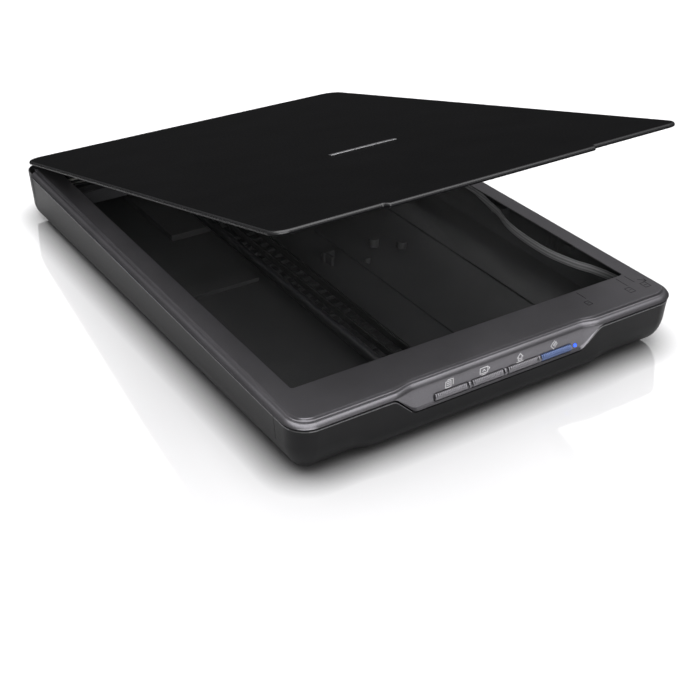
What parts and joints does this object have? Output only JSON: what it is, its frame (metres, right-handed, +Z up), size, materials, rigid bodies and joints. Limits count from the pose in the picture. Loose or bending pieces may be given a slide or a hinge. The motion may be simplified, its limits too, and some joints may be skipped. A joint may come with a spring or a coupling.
{
  "type": "flatbed scanner",
  "caption": "Slim A4 flatbed document scanner with a hinged lid held part open, a glass bed, a belt-driven sensor bar below it and front push buttons.",
  "frame": {"origin": "centre of the bounding box in plan, on the surface that the scanner stands on", "axes": "+X to the right seen from the front, +Y from the front buttons to the lid hinge, +Z up"},
  "size_m": [0.249, 0.364, 0.1301],
  "materials": {
    "case_plastic": "dark grey, fine matte grain",
    "frame_plastic": "satin metallic dark grey paint",
    "lid_plastic": "near black, fine satin grain",
    "inner_plastic": "black, unfinished inside moulding",
    "sensor_plastic": "dark grey moulding",
    "clear_glass": "polished clear",
    "steel": "plain steel",
    "white_film": "even matte white",
    "foam": "soft open foam",
    "rubber": "matte black rubber",
    "circuit_board": "green solder mask",
    "acetal": "natural white acetal",
    "badge_metal": "satin silver, blank",
    "lamp": "clear blue light pipe",
    "ribbon": "flat flexible cable, silver grey"
  },
  "bodies": {
    "base": {"lower_case": "case_plastic", "upper_frame": "frame_plastic", "hinge_deck": "frame_plastic", "document_glass": "clear_glass", "white_reference_strip": "white_film", "guide_rod": "steel", "drive_belt": "rubber", "motor_bracket": "steel", "drive_motor": "steel", "main_board": "circuit_board", "controller_chip": "inner_plastic", "ribbon_connector": "acetal", "usb_port": "steel", "button_board": "circuit_board", "tact_switch_1": "sensor_plastic", "tact_switch_2": "sensor_plastic", "tact_switch_3": "sensor_plastic", "tact_switch_4": "sensor_plastic", "status_light_pipe": "lamp", "sensor_ribbon": "ribbon", "panel_ribbon": "ribbon", "foot_1": "rubber", "foot_2": "rubber", "foot_3": "rubber", "foot_4": "rubber", "case_screw_1": "steel", "case_screw_2": "steel", "case_screw_3": "steel", "case_screw_4": "steel"},
    "carriage": {"carriage_frame": "sensor_plastic", "sensor_housing": "inner_plastic", "sensor_window": "clear_glass", "rod_lens_array": "sensor_plastic", "light_guide": "acetal", "sensor_board": "circuit_board", "leaf_spring_left": "steel", "leaf_spring_right": "steel", "glass_slider_left": "acetal", "glass_slider_right": "acetal", "slide_bush": "acetal", "belt_clamp": "acetal"},
    "drive_pulley": {"drive_pulley": "acetal"},
    "idler_pulley": {"idler_pulley": "acetal"},
    "motor_pinion": {"motor_pinion": "acetal"},
    "hinge_posts": {"hinge_post_left": "inner_plastic", "hinge_post_right": "inner_plastic"},
    "lid": {"lid_cover": "lid_plastic", "lid_liner": "inner_plastic", "document_pad_foam": "foam", "document_mat": "white_film", "lid_badge": "badge_metal", "hinge_bracket_left": "inner_plastic", "hinge_bracket_right": "inner_plastic", "hinge_pin_left": "steel", "hinge_pin_right": "steel"},
    "stand": {"kick_stand": "case_plastic"},
    "button_1": {"button_1": "frame_plastic"},
    "button_2": {"button_2": "frame_plastic"},
    "button_3": {"button_3": "frame_plastic"},
    "button_4": {"button_4": "frame_plastic"}
  },
  "joints": [
    {"name": "carriage_travel", "type": "slide", "parent": "base", "child": "carriage", "axis": [0, -1, 0], "range_m": [-0.0094, 0.288]},
    {"name": "drive_pulley_turn", "type": "hinge", "parent": "base", "child": "drive_pulley", "pos_m": [-0.025, -0.1635, 0.01], "axis": [0, 0, -1], "continuous": true},
    {"name": "idler_pulley_turn", "type": "hinge", "parent": "base", "child": "idler_pulley", "pos_m": [-0.025, 0.1626, 0.01], "axis": [0, 0, -1], "continuous": true},
    {"name": "motor_turn", "type": "hinge", "parent": "base", "child": "motor_pinion", "pos_m": [-0.01235, -0.1635, 0.01], "axis": [0, 0, 1], "continuous": true},
    {"name": "posts_rise", "type": "slide", "parent": "base", "child": "hinge_posts", "axis": [0, 0, 1], "range_m": [0, 0.013]},
    {"name": "lid_hinge", "type": "hinge", "parent": "hinge_posts", "child": "lid", "pos_m": [0, 0.1713, 0.0352], "axis": [-1, 0, 0], "range_deg": [-15.06, 65]},
    {"name": "stand_hinge", "type": "hinge", "parent": "base", "child": "stand", "pos_m": [0, 0.15, 0.00475], "axis": [1, 0, 0], "range_deg": [0, 105]},
    {"name": "button_1_press", "type": "slide", "parent": "base", "child": "button_1", "axis": [0, 1, 0], "range_m": [0, 0.0008], "stiffness_N_per_m": 600, "springref_m": -0.0005},
    {"name": "button_2_press", "type": "slide", "parent": "base", "child": "button_2", "axis": [0, 1, 0], "range_m": [0, 0.0008], "stiffness_N_per_m": 600, "springref_m": -0.0005},
    {"name": "button_3_press", "type": "slide", "parent": "base", "child": "button_3", "axis": [0, 1, 0], "range_m": [0, 0.0008], "stiffness_N_per_m": 600, "springref_m": -0.0005},
    {"name": "button_4_press", "type": "slide", "parent": "base", "child": "button_4", "axis": [0, 1, 0], "range_m": [0, 0.0008], "stiffness_N_per_m": 600, "springref_m": -0.0005}
  ],
  "couplings": [
    {"joint": "drive_pulley_turn", "follows": "carriage_travel", "rad_per_m": 188.68},
    {"joint": "idler_pulley_turn", "follows": "carriage_travel", "rad_per_m": 188.68},
    {"joint": "motor_turn", "follows": "carriage_travel", "rad_per_m": 597.48}
  ]
}
